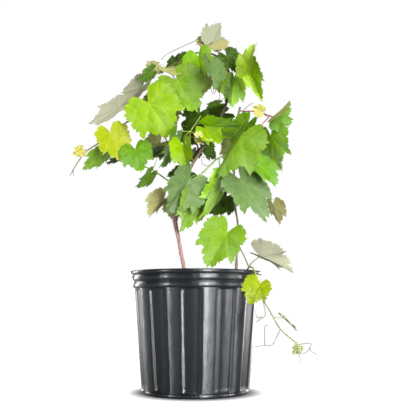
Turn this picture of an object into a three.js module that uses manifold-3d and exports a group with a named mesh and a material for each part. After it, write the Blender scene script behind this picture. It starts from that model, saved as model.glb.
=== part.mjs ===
// A young grapevine in a black nursery pot: two canes, a bough that arches over the top, leafy shoots
// with tendrils, and one shoot that hangs over the rim. Millimetres, +Z up, the origin at the centre of
// the pot's flat underside. The front faces -Y and +X is to the right.

import * as THREE from 'three';
import { mergeVertices } from 'three/addons/utils/BufferGeometryUtils.js';
import Module from 'manifold-3d';

const wasm = await Module();
wasm.setup();

// Pot
const POT_HEIGHT = 240;
const LIP_RADIUS = 135.5;
const WALL_TOP_RADIUS = 125.5; // just under the rim band
const WALL_FOOT_RADIUS = 107;
const BAND_FOOT = 205.5; // height where the rim band begins
const FOOT_HEIGHT = 9; // plain ring under the fluted wall
const WALL = 1.8; // thickness of the moulded plastic
const RIBS = 11;
const RIB_DEPTH = 3; // how far a rib stands out of the panel beside it
const RIB_STEP = 4.3; // degrees that the sloping side of a rib takes
const FIRST_RIB = 7.5; // degrees to the right of the front
const COLUMNS_PER_RIB = 6;

// Soil
const SOIL_TOP = 218;
const SOIL_SIDES = 44;

// Vine
const GAP = 0.3; // between pieces that touch
const WELD = 1e-3; // corners nearer to each other than this are one
const LEAF_THICKNESS = 0.026; // at the heart of the blade, as a share of the midrib's length
const LEAF_CURL = 0.1; // how far the tips bend back, as a share of the midrib's length
const PETIOLE_RADIUS = 0.018; // as a share of the midrib's length, and half as thick in the blade
const PETIOLE_END = 0.14; // where it runs into the midrib, as a share of the midrib's length
const TENDRIL_RADIUS = 0.75;
const VIEWPOINT = new THREE.Vector3(25, -1380, 171); // from here the front leaves screen the back ones

const FRONT = new THREE.Vector3(0, -1, 0);
const UP = new THREE.Vector3(0, 0, 1);
const rad = THREE.MathUtils.degToRad;
const vec = (p) => new THREE.Vector3(...p);

// A repeatable number from 0 to 1 for each seed
function chance(seed) {
  const n = Math.sin(seed * 12.9898 + 4.1414) * 43758.5453;
  return n - Math.floor(n);
}

// A surface's points and faces, with shared corners made one and collapsed faces dropped
function welded(geometry) {
  geometry.deleteAttribute('normal');
  geometry.deleteAttribute('uv');
  const merged = mergeVertices(geometry, WELD);
  const from = merged.index.array;
  const tris = [];
  for (let i = 0; i < from.length; i += 3) {
    const [a, b, c] = [from[i], from[i + 1], from[i + 2]];
    if (a !== b && b !== c && c !== a) tris.push(a, b, c);
  }
  return { points: Float32Array.from(merged.attributes.position.array), tris };
}

// A closed solid from a surface that shuts on itself
function solidOf(geometry) {
  const { points, tris } = welded(geometry);
  if (signedVolume(points, tris) < 0) tris.reverse();
  const mesh = new wasm.Mesh({ numProp: 3, vertProperties: points, triVerts: Uint32Array.from(tris) });
  return new wasm.Manifold(mesh);
}

function signedVolume(points, tris) {
  const corner = (i) => new THREE.Vector3(...points.slice(3 * i, 3 * i + 3));
  let sum = 0;
  for (let i = 0; i < tris.length; i += 3) {
    sum += corner(tris[i]).dot(corner(tris[i + 1]).cross(corner(tris[i + 2])));
  }
  return sum / 6;
}

// A named mesh from a solid
function meshOf(name, solid, look) {
  const made = solid.getMesh();
  const raw = new THREE.BufferGeometry();
  raw.setAttribute('position', new THREE.BufferAttribute(made.vertProperties, made.numProp));
  raw.setIndex(new THREE.BufferAttribute(made.triVerts, 1));
  const { points, tris } = welded(raw);
  const geometry = new THREE.BufferGeometry();
  geometry.setAttribute('position', new THREE.BufferAttribute(points, 3));
  geometry.setIndex(tris);
  geometry.computeVertexNormals();
  const mesh = new THREE.Mesh(geometry, new THREE.MeshStandardMaterial(look));
  mesh.name = name;
  return mesh;
}

const fuse = (solids) => wasm.Manifold.union(solids);

// Pot: a turned profile whose wall is pushed in between the ribs

const wallRadius = (z) => THREE.MathUtils.mapLinear(z, 0, BAND_FOOT, WALL_FOOT_RADIUS, WALL_TOP_RADIUS);
const innerRadius = (z) => wallRadius(z) - RIB_DEPTH - WALL;

function potProfile() {
  const top = POT_HEIGHT;
  const band = [
    [129.6, BAND_FOOT + 1.6],
    [130.6, BAND_FOOT + 6],
    [128.2, BAND_FOOT + 12.6],
    [132.4, BAND_FOOT + 16],
    [131.4, BAND_FOOT + 25.6],
    [133.4, top - 7.4],
    [LIP_RADIUS, top - 4.4],
    [133.4, top],
    [130, top - 1.6],
  ];
  return [
    [0, 0],
    [WALL_FOOT_RADIUS - 5, 0],
    [WALL_FOOT_RADIUS - 0.4, 4],
    [WALL_FOOT_RADIUS - 2.4, FOOT_HEIGHT - 1],
    [wallRadius(FOOT_HEIGHT), FOOT_HEIGHT],
    [wallRadius(BAND_FOOT), BAND_FOOT - 0.1],
    ...band,
    [127.6, BAND_FOOT + 12],
    [innerRadius(BAND_FOOT), BAND_FOOT - 8],
    [innerRadius(WALL + 2), WALL + 2],
    [0, WALL + 2],
  ].map(([r, z]) => new THREE.Vector2(r, z));
}

// Column angles, so that ribs and panels are wide and the steps between them narrow
function columnAngle(k) {
  const period = 360 / RIBS;
  const flat = (period - 2 * RIB_STEP) / 4;
  const within = [0, flat, 2 * flat, 2 * flat + RIB_STEP, 3 * flat + RIB_STEP, 4 * flat + RIB_STEP];
  return FIRST_RIB + Math.floor(k / COLUMNS_PER_RIB) * period + within[k % COLUMNS_PER_RIB];
}

function pot() {
  const columns = RIBS * COLUMNS_PER_RIB;
  const geometry = new THREE.LatheGeometry(potProfile(), columns);
  const at = geometry.attributes.position;
  for (let i = 0; i < at.count; i++) {
    const radius = Math.hypot(at.getX(i), at.getZ(i));
    const turn = THREE.MathUtils.radToDeg(Math.atan2(at.getX(i), at.getZ(i)));
    const k = (Math.round((turn * columns) / 360) + columns) % columns;
    const z = at.getY(i);
    const fluted = Math.abs(radius - wallRadius(z)) < 0.05 && z >= FOOT_HEIGHT && z < BAND_FOOT;
    const panel = k % COLUMNS_PER_RIB >= COLUMNS_PER_RIB / 2;
    const r = radius - (fluted && panel ? RIB_DEPTH : 0);
    const angle = rad(columnAngle(k));
    at.setXYZ(i, r * Math.sin(angle), -r * Math.cos(angle), z);
  }
  return meshOf('pot', solidOf(geometry), { color: 0x2b2d2f, roughness: 0.38, metalness: 0 });
}

// Soil: the root ball fills the pot to a little under its lip

function soil() {
  const side = (z) => innerRadius(z) - 0.6;
  const foot = WALL + 2 + GAP;
  const profile = [[0, foot], [side(foot), foot], [side(BAND_FOOT - 10), BAND_FOOT - 10],
    [side(BAND_FOOT - 10) + 4, SOIL_TOP], [0, SOIL_TOP]];
  const geometry = new THREE.LatheGeometry(profile.map(([r, z]) => new THREE.Vector2(r, z)), SOIL_SIDES);
  geometry.rotateX(Math.PI / 2);
  return meshOf('soil', solidOf(geometry), { color: 0x3a2a1e, roughness: 0.95, metalness: 0 });
}

// Limbs, stems and tendrils: a cylinder bent along a smooth curve, with its own radius at each step

function tube(points, radii, sides, steps) {
  const curve = new THREE.CatmullRomCurve3(points, false, 'centripetal');
  const frames = curve.computeFrenetFrames(steps, false);
  const centres = curve.getSpacedPoints(steps);
  const geometry = new THREE.CylinderGeometry(1, 1, 1, sides, steps);
  const at = geometry.attributes.position;
  const p = new THREE.Vector3();
  for (let i = 0; i < at.count; i++) {
    const share = at.getY(i) + 0.5;
    const step = Math.round(share * steps);
    const radius = radiusAt(radii, share);
    p.copy(centres[step]);
    p.addScaledVector(frames.binormals[step], at.getX(i) * radius);
    p.addScaledVector(frames.normals[step], at.getZ(i) * radius);
    at.setXYZ(i, p.x, p.y, p.z);
  }
  return { solid: solidOf(geometry), curve, radii };
}

function radiusAt(radii, share) {
  const place = share * (radii.length - 1);
  const i = Math.min(Math.floor(place), radii.length - 2);
  return THREE.MathUtils.lerp(radii[i], radii[i + 1], place - i);
}

// Canes and boughs: [x, y, z] of the centre line, and radii at even steps from the foot

const limbs = {
  main_cane: tube([[-21, -12, SOIL_TOP + GAP], [-21, -12, SOIL_TOP + 6], [-24, -12, 247], [-30, -12, 278],
    [-36, -14, 310], [-43, -14, 345], [-42, -12, 360]].map(vec), [5.4, 3.9, 3.8, 3.8, 3.8, 4.9, 4.2], 10, 16),
  right_cane: tube([[84, 2, SOIL_TOP + GAP], [84, 2, SOIL_TOP + 6], [83, 0, 248], [87, 2, 337],
    [81, 2, 379], [79, 0, 432], [84, -2, 495], [84, -2, 550], [93, -4, 588]].map(vec),
  [3.4, 2.1, 2.0, 1.9, 1.8, 2.2], 8, 24),
};

// A limb that goes on from another's tip, along the same line and a gap away from it
function limbFrom(before, points, radii, sides, steps) {
  return tube([...runOn(before), ...points.map(vec)], radii, sides, steps);
}

function runOn(before) {
  const end = before.curve.getPointAt(1);
  const ahead = before.curve.getTangentAt(1);
  return [end.clone().addScaledVector(ahead, GAP), end.clone().addScaledVector(ahead, GAP + 5)];
}

limbs.rising_cane = limbFrom(limbs.main_cane, [[-33, -8, 396], [-23, -4, 429], [-11, 0, 459], [6, 4, 489],
  [21, 6, 513], [38, 8, 541], [51, 8, 568]], [3.9, 3.4, 3.2, 3, 2.8, 2.7], 8, 22);
limbs.arching_cane = limbFrom(limbs.rising_cane, [[64, 8, 599], [70, 6, 629], [73, 4, 653], [62, 0, 687],
  [42, -4, 702], [19, -8, 708], [4, -8, 707]], [2.7, 2.4, 2.1, 1.8], 8, 24);

// The first two points of a stem that leaves the side of a limb, square to it and a gap clear of it
function branchOff(limb, share, toward) {
  const p = limb.curve.getPointAt(share);
  const along = limb.curve.getTangentAt(share);
  const out = vec(toward).sub(p);
  out.addScaledVector(along, -out.dot(along)).normalize();
  const start = radiusAt(limb.radii, share) + GAP;
  return [p.clone().addScaledVector(out, start), p.clone().addScaledVector(out, start + 5)];
}

// Leaves: a palmate blade with three main lobes. Its outline is [degrees from the midrib, reach] about
// the junction of blade and stalk, for one half; the other half mirrors it.
const OUTLINE = [[0, 1], [9, 0.89], [26, 0.71], [36, 0.56], [45, 0.88], [62, 0.73], [99, 0.68],
  [125, 0.55], [150, 0.4], [180, 0.06]];

function bladeSolid({ at, along, face, size, fold }) {
  const side = new THREE.Vector3().crossVectors(face, along);
  const rim = [...OUTLINE, ...OUTLINE.slice(1, -1).reverse().map(([angle, r]) => [-angle, r])];
  const half = (LEAF_THICKNESS * size) / 2;
  const geometry = new THREE.LatheGeometry(
    [new THREE.Vector2(0, -half), new THREE.Vector2(1, 0), new THREE.Vector2(0, half)], rim.length);
  const points = geometry.attributes.position;
  const p = new THREE.Vector3();
  for (let i = 0; i < points.count; i++) {
    const height = points.getY(i);
    p.copy(at).addScaledVector(face, height);
    if (Math.hypot(points.getX(i), points.getZ(i)) > 0.5) {
      const turn = Math.atan2(points.getX(i), points.getZ(i)) / (2 * Math.PI);
      const [angle, reach] = rim[(Math.round(turn * rim.length) + rim.length) % rim.length];
      p.copy(bladePoint({ at, along, side, face, size, fold }, angle, reach));
    }
    points.setXYZ(i, p.x, p.y, p.z);
  }
  return solidOf(geometry);
}

// A place on the folded, slightly curled blade
function bladePoint({ at, along, side, face, size, fold }, angle, reach) {
  const u = reach * Math.cos(rad(angle));
  const v = reach * Math.sin(rad(angle));
  const lift = Math.abs(v) * Math.sin(rad(fold)) - LEAF_CURL * reach * reach;
  return at.clone().addScaledVector(along, size * u)
    .addScaledVector(side, size * v * Math.cos(rad(fold)))
    .addScaledVector(face, size * lift);
}

// A leaf placed by eye: where its blade joins the stalk, the heading of the midrib as seen from the front
// (degrees, 0 to the right, -90 down), how far its tip leans away, how far the blade is turned about
// the midrib (0 shows its upper face), the midrib's length and the fold along it
function leaf(at, heading, lean, turn, size, fold) {
  const flat = Math.cos(rad(lean));
  const along = new THREE.Vector3(Math.cos(rad(heading)) * flat, Math.sin(rad(lean)),
    Math.sin(rad(heading)) * flat);
  const open = FRONT.clone().addScaledVector(along, -FRONT.dot(along)).normalize();
  const side = new THREE.Vector3().crossVectors(open, along);
  const face = open.multiplyScalar(Math.cos(rad(turn))).addScaledVector(side, Math.sin(rad(turn)));
  return { at: vec(at), along, face, size, fold };
}

// The leaf stalk: from the nearest good place on the stem, up behind the blade, and into its heart
function petiole(stem, one) {
  const { at, along, face, size } = one;
  const radius = THREE.MathUtils.clamp(PETIOLE_RADIUS * size, 0.5, 1.3);
  const behind = at.clone().addScaledVector(along, -0.45 * size).addScaledVector(face, -0.15 * size);
  const root = nearest(stem.curve, behind);
  const middle = root.clone().lerp(at, 0.55);
  middle.addScaledVector(face, -0.1 * size).addScaledVector(along, -0.08 * size);
  const under = at.clone().addScaledVector(face, -0.5 * LEAF_THICKNESS * size - radius);
  const side = new THREE.Vector3().crossVectors(face, along);
  const sunk = bladePoint({ ...one, side }, 0, PETIOLE_END);
  return tube([root, middle, under, sunk], [radius, radius, 0.9 * radius, 0.5 * radius], 3, 4).solid;
}

function nearest(curve, target) {
  const steps = 60;
  const first = 0.06; // a stalk leaves the stem a little past its foot
  let best = null;
  for (let i = 0; i <= steps; i++) {
    const p = curve.getPointAt(first + ((0.99 - first) * i) / steps);
    if (!best || p.distanceTo(target) < best.distanceTo(target)) best = p;
  }
  return best;
}

const tendril = (points, steps = 8) =>
  tube(points.map(vec), [TENDRIL_RADIUS, 0.8 * TENDRIL_RADIUS], 3, steps).solid;

// A mass of leaves: one stem with its leaves, tendrils and buds fused to it
function mass(name, stem, leaves, extras, look) {
  const parts = [stem.solid, ...extras];
  for (const one of leaves) parts.push(petiole(stem, one), bladeSolid(one));
  return meshOf(name, fuse(parts), { roughness: 0.55, metalness: 0, ...look });
}

const stemOf = (points, radii, steps) => tube(points, radii, 5, steps);

const fresh = { color: 0x8fc42a };
const deepGreen = { color: 0x5f9a2e };
const frontLeaves = []; // the leaves that screen the back shoots

function frontMass(name, stem, leaves, extras = []) {
  frontLeaves.push(...leaves);
  return mass(name, stem, leaves, extras, fresh);
}

const group = new THREE.Group();
group.add(pot(), soil());
for (const [name, limb] of Object.entries(limbs)) {
  group.add(meshOf(name, limb.solid, { color: 0x7a5648, roughness: 0.75, metalness: 0 }));
}

// Left lower shoot, off the head of the main cane
const leftLower = stemOf([...branchOff(limbs.main_cane, 0.97, [-60, -8, 380]),
  ...[[-52, -6, 400], [-54, -4, 424], [-69, -4, 437], [-88, -4, 450], [-113, -4, 461], [-159, -6, 471],
    [-178, -8, 487]].map(vec)], [1.9, 1.6, 1.2], 16);
group.add(frontMass('leaves_left_lower', leftLower, [
  leaf([-124, -35, 487], -75, -10, 0, 50, 10),
  leaf([-193, -5, 492], -136, 0, 78, 60, 3),
  leaf([-168, 10, 483], -145, 0, 85, 28, 10),
  leaf([-75, 12, 499], -158, 18, 75, 38, 10),
  leaf([-95, -18, 441], -130, 2, 76, 42, 8),
  leaf([-67, -28, 385], -135, 0, -120, 47, 25),
]));

// Left upper shoot, off the rising cane: it runs behind the foliage and droops to a forked tip
const leftUpper = stemOf([...branchOff(limbs.rising_cane, 0.72, [-2, 24, 555]),
  ...[[-14, 22, 572], [-53, 22, 612], [-89, 14, 614], [-120, 4, 589], [-139, -2, 563], [-156, -8, 546],
    [-207, -14, 505], [-229, -16, 489], [-245, -18, 466], [-256, -18, 447]].map(vec)],
[2.3, 2, 1.7, 1.4, 1], 26);
group.add(frontMass('leaves_left_upper', leftUpper, [
  leaf([-94, -62, 577], -54, 10, -5, 82, 6),
  leaf([-174, -45, 519], -70, 12, 30, 58, 12),
  leaf([-163, -30, 579], -150, 14, 130, 70, -5),
  leaf([-237, -28, 489], -147, -4, 50, 21, 10),
], [
  tendril([[-254, -18, 451], [-258, -19, 442], [-261, -20, 436]], 4),
  tendril([[-254, -18, 451], [-255, -16, 444], [-253, -14, 438]], 4),
  tendril([[-148, -6, 556], [-150, -12, 546], [-153, -14, 540]], 4),
]));

// Low leaves in the middle: their stem comes over from the right cane, behind the big right leaf
const lowCentre = stemOf([...branchOff(limbs.right_cane, 0.7, [66, -10, 484]),
  ...[[60, -16, 480], [41, -24, 469], [26, -28, 453], [10, -30, 438], [-6, -30, 428]].map(vec)],
[1.8, 1.3], 12);
group.add(frontMass('leaves_low_centre', lowCentre, [
  leaf([-15, -72, 414], -123, 0, 35, 76, 27),
  leaf([-22, -40, 436], -140, 29, 36, 44, 10),
  leaf([57, -34, 416], -120, 3, 72, 84, -6),
  leaf([-9, -42, 383], -106, 2, 57, 69, 15),
  leaf([62, 12, 396], -129, 24, 42, 54, 10),
]));

// The heart of the plant: a short shoot off the rising cane, with a young bud
const heart = stemOf([...branchOff(limbs.rising_cane, 0.52, [-14, -14, 500]),
  ...[[-12, -16, 506], [-12, -20, 528], [0, -18, 550], [10, -14, 566]].map(vec)], [2, 1.6, 1.2], 10);
group.add(frontMass('leaves_heart', heart, [
  leaf([6, -12, 572], -128, 29, -15, 49, 10),
  leaf([21, -48, 529], -40, 5, 10, 44, 20),
  leaf([-25, -60, 488], -80, 0, -12, 56, 54),
  leaf([-43, -46, 508], -110, 6, 80, 68, 4),
  leaf([6, -34, 512], -60, 0, 0, 14, 10),
  leaf([32, -48, 533], -4, 0, -75, 66, 5),
]));

// Crown, left: the bough's tip runs on into this shoot
const crownLeft = stemOf([...runOn(limbs.arching_cane),
  ...[[-18, -8, 700], [-39, -6, 687], [-67, -2, 675], [-85, 2, 668], [-100, 6, 656]].map(vec)],
[1.7, 1.4, 1.1], 12);
group.add(frontMass('leaves_crown_left', crownLeft, [
  leaf([-38, -44, 630], -57, -4, 3, 78, 8),
  leaf([-119, 14, 638], -134, 4, -98, 69, 12),
  leaf([-94, -35, 655], -141, -10, 76, 35, 5),
  leaf([-83, -10, 679], -156, -33, 163, 32, 20),
  leaf([-37, 12, 681], 71, 10, 43, 50, 25),
  leaf([-43, -30, 666], -164, -18, 129, 42, 15),
]));

// Crown, top: the highest leaf, its fellow that hangs behind the bough, and the long tendril
const crownTop = stemOf([...branchOff(limbs.arching_cane, 0.9, [16, -14, 730]),
  ...[[8, -12, 722], [-2, -14, 733]].map(vec)], [1.7, 1.1], 6);
group.add(frontMass('leaves_crown_top', crownTop, [
  leaf([5, -44, 682], -82, 0, -34, 56, 15),
  leaf([29, -75, 655], -77, 0, 54, 55, 20),
  leaf([35, -20, 729], 72, 8, 142, 45, 13),
  leaf([36, -8, 735], -100, -38, 180, 50, 5),
], [
  tendril([[-1, -14, 732], [-35, -14, 716], [-65, -14, 700], [-75, -14, 689]], 8),
  tendril([[-1, -14, 732], [5, -16, 738], [11, -16, 740]], 3),
]));

// Upper right, off the arching cane
const rightUpper = stemOf([...branchOff(limbs.arching_cane, 0.38, [86, -6, 664]),
  ...[[90, -8, 668], [106, -14, 668]].map(vec)], [1.8, 1.3], 6);
group.add(frontMass('leaves_right_upper', rightUpper, [
  leaf([65, -30, 690], -52, 10, 28, 44, 10),
  leaf([107, -95, 642], 80, -3, 62, 56, 23),
  leaf([111, -30, 659], -68, -3, -8, 74, 66),
  leaf([80, -25, 641], -96, 0, -8, 60, -56),
  leaf([62, -14, 646], -99, 0, -52, 34, 15),
]));

// Right: a reddish shoot off the right cane's tip
const right = stemOf([...branchOff(limbs.right_cane, 0.98, [140, -10, 582]),
  ...[[118, -8, 578], [140, -10, 572], [160, -14, 565]].map(vec)], [1.4, 1], 8);
group.add(frontMass('leaves_right', right, [
  leaf([90, -104, 499], -122, 5, -56, 95, -19),
  leaf([106, -35, 543], -130, 12, -52, 58, 15),
  leaf([161, -14, 564], 38, 5, -60, 54, 55),
  leaf([160, 14, 526], -80, 5, -64, 76, -6),
  leaf([135, -38, 569], 156, -5, 43, 21, 10),
], [
  tendril([[99, -5, 579], [110, -6, 590], [121, -8, 596]], 4),
]));

// Lower right, off the right cane
const rightLower = stemOf([...branchOff(limbs.right_cane, 0.56, [110, -20, 436]),
  ...[[100, -16, 438], [122, -14, 446], [146, -6, 424], [158, 4, 398]].map(vec)], [1.7, 1.2], 10);
group.add(frontMass('leaves_right_lower', rightLower, [
  leaf([95, -48, 417], -55, -1, 47, 94, 5),
  leaf([132, -25, 456], -46, 1, 42, 55, 15),
  leaf([163, 10, 380], -70, 22, 118, 44, 15),
]));

// The shoot that leaves the right cane's foot, as far as the pot's rim
const overPot = stemOf([...branchOff(limbs.right_cane, 0.03, [92, -20, 228]),
  ...[[96, -36, 232], [106, -70, 246], [110, -84, 244]].map(vec)], [1.8, 1.5], 10);
group.add(frontMass('leaves_over_pot', overPot, [
  leaf([61, -60, 311], -121, -1, -30, 77, 15),
  leaf([130, -62, 268], -24, -8, 110, 70, 22),
]));

// The same shoot from the rim on, where it hangs outside the pot
const hanging = stemOf([...runOn(overPot),
  ...[[118, -95, 226], [128, -88, 188], [145, -86, 157], [163, -84, 127],
    [183, -80, 109], [199, -78, 97]].map(vec)], [1.5, 1.2, 1], 20);
group.add(frontMass('leaves_hanging', hanging, [
  leaf([121, -102, 210], -117, 0, -20, 42, 15),
  leaf([169, -80, 148], -39, -6, 84, 36, 10),
  leaf([197, -78, 93], -126, 2, 29, 18, 10),
], [
  tendril([[163, -84, 127], [146, -82, 97], [133, -82, 96], [113, -86, 94]], 8),
  tendril([[133, -82, 96], [133, -82, 120], [135, -82, 135], [140, -82, 133]], 6),
  tendril([[129, -88, 185], [134, -86, 153], [126, -86, 146], [116, -88, 140]], 8),
  tendril([[197, -78, 98], [222, -76, 99], [219, -76, 89], [233, -76, 78]], 8),
  tendril([[222, -76, 90], [219, -76, 89], [210, -78, 82], [202, -80, 80]], 4),
]));

// Back shoots, which the front leaves screen: leaves in turn to either side of a stem, by a seeded rule

const TRIES = 240; // places tried along each back stem
const BLADE_SAMPLES = [[0, 1], [45, 0.88], [-45, 0.88], [92, 0.64], [-92, 0.64], [180, 0.1]];
const SCREEN_REACH = 0.62; // of the midrib, about a point 0.3 of the way along it
const SCREEN_FACING = 0.45; // a front leaf turned further aside than this cosine screens nothing

// Where the line of sight to a point meets the plane y = 0
function seenAt(p) {
  const share = -VIEWPOINT.y / (p.y - VIEWPOINT.y);
  return new THREE.Vector2(VIEWPOINT.x + (p.x - VIEWPOINT.x) * share,
    VIEWPOINT.z + (p.z - VIEWPOINT.z) * share);
}

function samples(one) {
  const side = new THREE.Vector3().crossVectors(one.face, one.along);
  return BLADE_SAMPLES.map(([angle, reach]) => bladePoint({ ...one, side }, angle, reach));
}

function screened(p) {
  const seen = seenAt(p);
  return frontLeaves.some((front) => {
    const sight = front.at.clone().sub(VIEWPOINT).normalize();
    if (Math.abs(front.face.dot(sight)) < SCREEN_FACING) return false;
    const centre = front.at.clone().addScaledVector(front.along, 0.3 * front.size);
    return seenAt(centre).distanceTo(seen) < SCREEN_REACH * front.size;
  });
}

// The leaf that the rule puts at a share of the way along a stem
function ruledLeaf(stem, share, hand, seed, size) {
  const p = stem.curve.getPointAt(share);
  const out = new THREE.Vector3(0.5 * (chance(seed) - 0.5), 1, 0).normalize();
  const sideways = new THREE.Vector3(hand, 0, 0);
  const reach = size * (0.5 + 0.5 * chance(seed + 0.3));
  const at = p.clone().addScaledVector(out, 0.55 * reach).addScaledVector(sideways, 0.6 * reach)
    .addScaledVector(UP, reach * (0.6 * chance(seed + 0.6) - 0.1));
  const face = out.clone().multiplyScalar(0.85).addScaledVector(UP, 0.5 + 0.3 * chance(seed + 0.9))
    .addScaledVector(sideways, 0.3).normalize();
  const along = UP.clone().multiplyScalar(-0.75).addScaledVector(sideways, 0.6 * chance(seed + 1.2));
  along.addScaledVector(face, -along.dot(face)).normalize();
  return { at, along, face, size, fold: 10 };
}

// A shoot grown by the rule inside its own space, given by its lowest and highest corner
function backMass(name, stem, space, count, seed, placed = []) {
  const room = new THREE.Box3(vec(space[0]), vec(space[1]));
  const grown = [];
  for (let k = 0; k < TRIES && grown.length < count; k++) {
    const share = 0.25 + 0.75 * chance(seed + k);
    const size = 38 + 24 * chance(seed + 0.5 * k);
    const one = ruledLeaf(stem, share, k % 2 ? 1 : -1, seed + 7 * k, size);
    const points = samples(one);
    const clear = grown.every((other) => other.at.distanceTo(one.at) > 0.55 * size);
    if (clear && points.every((p) => room.containsPoint(p) && screened(p))) grown.push(one);
  }
  return mass(name, stem, [...placed, ...grown], [], deepGreen);
}

const backLeft = stemOf([...branchOff(limbs.rising_cane, 0.42, [-30, 20, 450]),
  ...[[-34, 30, 470], [-62, 48, 520], [-78, 52, 570], [-70, 50, 620]].map(vec)], [2, 1.6, 1.2], 14);
group.add(backMass('leaves_back_left', backLeft, [[-140, 34, 440], [-18, 130, 680]], 8, 3));

const backMiddle = stemOf([...branchOff(limbs.rising_cane, 0.62, [4, 24, 500]),
  ...[[2, 26, 512], [-6, 34, 530], [-2, 44, 556], [6, 46, 580]].map(vec)], [1.9, 1.3], 10);
group.add(backMass('leaves_back_middle', backMiddle, [[-16, 34, 440], [38, 130, 640]], 4, 11, [
  leaf([-26, 18, 540], -35, 34, 25, 43, 10),
  leaf([-1, 22, 498], -116, 35, 60, 31, 10),
  leaf([19, 28, 511], -43, 33, 42, 41, 10),
]));

const backCrown = stemOf([...branchOff(limbs.arching_cane, 0.2, [64, 26, 616]),
  ...[[62, 28, 622], [50, 46, 646], [30, 54, 668], [4, 56, 680]].map(vec)], [1.9, 1.5, 1.2], 12);
group.add(backMass('leaves_back_crown', backCrown, [[-40, 30, 600], [84, 130, 735]], 7, 19, [
  leaf([49, 34, 606], -161, 24, 76, 36, 5),
  leaf([58, 50, 590], -169, 21, 74, 54, 5),
]));

const backRight = stemOf([...branchOff(limbs.right_cane, 0.66, [84, 22, 470]),
  ...[[86, 26, 474], [98, 44, 500], [104, 52, 530], [98, 58, 560]].map(vec)], [1.9, 1.5, 1.2], 12);
group.add(backMass('leaves_back_right', backRight, [[46, 34, 400], [180, 130, 610]], 8, 31, [
  leaf([90, 69, 569], 174, -5, 91, 81, 10),
]));

const backLow = stemOf([...branchOff(limbs.main_cane, 0.9, [-34, 20, 372]),
  ...[[-32, 24, 376], [-14, 44, 390], [14, 54, 404], [44, 56, 412]].map(vec)], [1.9, 1.5, 1.2], 12);
group.add(backMass('leaves_back_low', backLow, [[-80, 30, 320], [74, 130, 450]], 7, 43));

export default group;
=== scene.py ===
import math

import bpy
import numpy as np
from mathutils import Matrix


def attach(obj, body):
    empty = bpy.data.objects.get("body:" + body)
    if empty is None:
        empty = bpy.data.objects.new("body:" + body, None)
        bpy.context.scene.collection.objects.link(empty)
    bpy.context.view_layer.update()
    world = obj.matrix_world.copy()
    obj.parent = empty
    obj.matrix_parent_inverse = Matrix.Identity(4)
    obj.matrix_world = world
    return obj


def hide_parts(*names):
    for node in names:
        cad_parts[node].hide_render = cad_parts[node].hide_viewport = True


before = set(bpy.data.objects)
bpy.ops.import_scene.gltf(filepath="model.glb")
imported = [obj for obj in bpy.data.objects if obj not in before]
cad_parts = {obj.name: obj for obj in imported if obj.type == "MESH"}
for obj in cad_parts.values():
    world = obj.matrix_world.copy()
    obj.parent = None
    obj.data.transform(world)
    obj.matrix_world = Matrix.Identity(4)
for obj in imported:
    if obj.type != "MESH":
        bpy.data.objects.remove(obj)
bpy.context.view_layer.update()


# Pot. A round nursery container of black polyethylene, moulded in one piece about 2 mm thick. Flat
# ribs stiffen its wall, two bands and a rolled lip stiffen its mouth, and it stands on a plain
# foot ring.

MM = 0.001
POT_HEIGHT = 240.0
WALL_TOP_RADIUS = 125.5
WALL_FOOT_RADIUS = 107.0
BAND_FOOT = 205.5
FOOT_HEIGHT = 9.0
WALL = 1.8
RIBS = 11
RIB_DEPTH = 3.0
RIB_STEP = 4.3  # degrees that a rib's sloping side takes
FIRST_RIB = 7.5  # degrees to the right of the front
POT_COLUMNS = RIBS * 24
POT_CREASE = 38  # degrees between two faces from which their edge stays sharp


def wall_radius(z):
    """Radius of the wall's outside on a rib."""
    return WALL_FOOT_RADIUS + (WALL_TOP_RADIUS - WALL_FOOT_RADIUS) * z / BAND_FOOT


def inner_radius(z):
    """Radius of the wall's inside behind a panel."""
    return wall_radius(z) - RIB_DEPTH - WALL


def smooth_step(value):
    """A share from 0 to 1 with a soft start and end."""
    share = min(max(value, 0.0), 1.0)
    return share * share * (3 - 2 * share)


def panel_share(x, y, z):
    """How much of the full recess a place on the wall has: 0 on a rib, 1 on a panel."""
    period = 360 / RIBS
    flat = (period - 2 * RIB_STEP) / 2
    turn = (math.degrees(math.atan2(x, -y)) - FIRST_RIB) % period
    across = min(smooth_step((turn - flat) / RIB_STEP), smooth_step((period - turn) / RIB_STEP))
    return across * smooth_step((z - FOOT_HEIGHT) / 4) * smooth_step((BAND_FOOT - 0.4 - z) / 3)


def profile_of_the_pot():
    """Radius and height of each ring: up the outside, over the lip and down the inside."""
    foot = [(101.6, 0.0), (104.2, 0.2), (106.0, 1.2), (106.8, 3.0), (106.8, 5.4), (106.0, 7.2),
            (105.2, 8.0)]
    rows = [FOOT_HEIGHT, 10, 11.5, 13, 20, 60, 100, 140, 180, 198, 202, 203.5, 204.6, 205.2]
    wall = [(wall_radius(z), z) for z in rows]
    lower_band = [(128.6, 205.9), (129.8, 206.9), (130.5, 209.0), (130.6, 212.0), (130.0, 215.0),
                  (128.8, 217.0), (128.2, 218.2)]
    upper_band = [(128.7, 219.4), (131.0, 220.3), (132.2, 221.9), (132.5, 225.0), (132.1, 228.6),
                  (131.3, 231.0)]
    lip = [(132.1, 232.0), (134.0, 232.9), (135.1, 234.3), (135.5, 236.2), (135.1, 238.2),
           (134.0, 239.5), (132.6, POT_HEIGHT), (131.2, 239.5), (130.2, 238.2), (129.8, 236.0)]
    inside = [(127.6, 217.5), (inner_radius(197.5), 197.5), (inner_radius(100), 100.0),
              (inner_radius(5.8), 5.8), (98.0, 3.8)]
    return foot + wall + lower_band + upper_band + lip + inside


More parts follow.
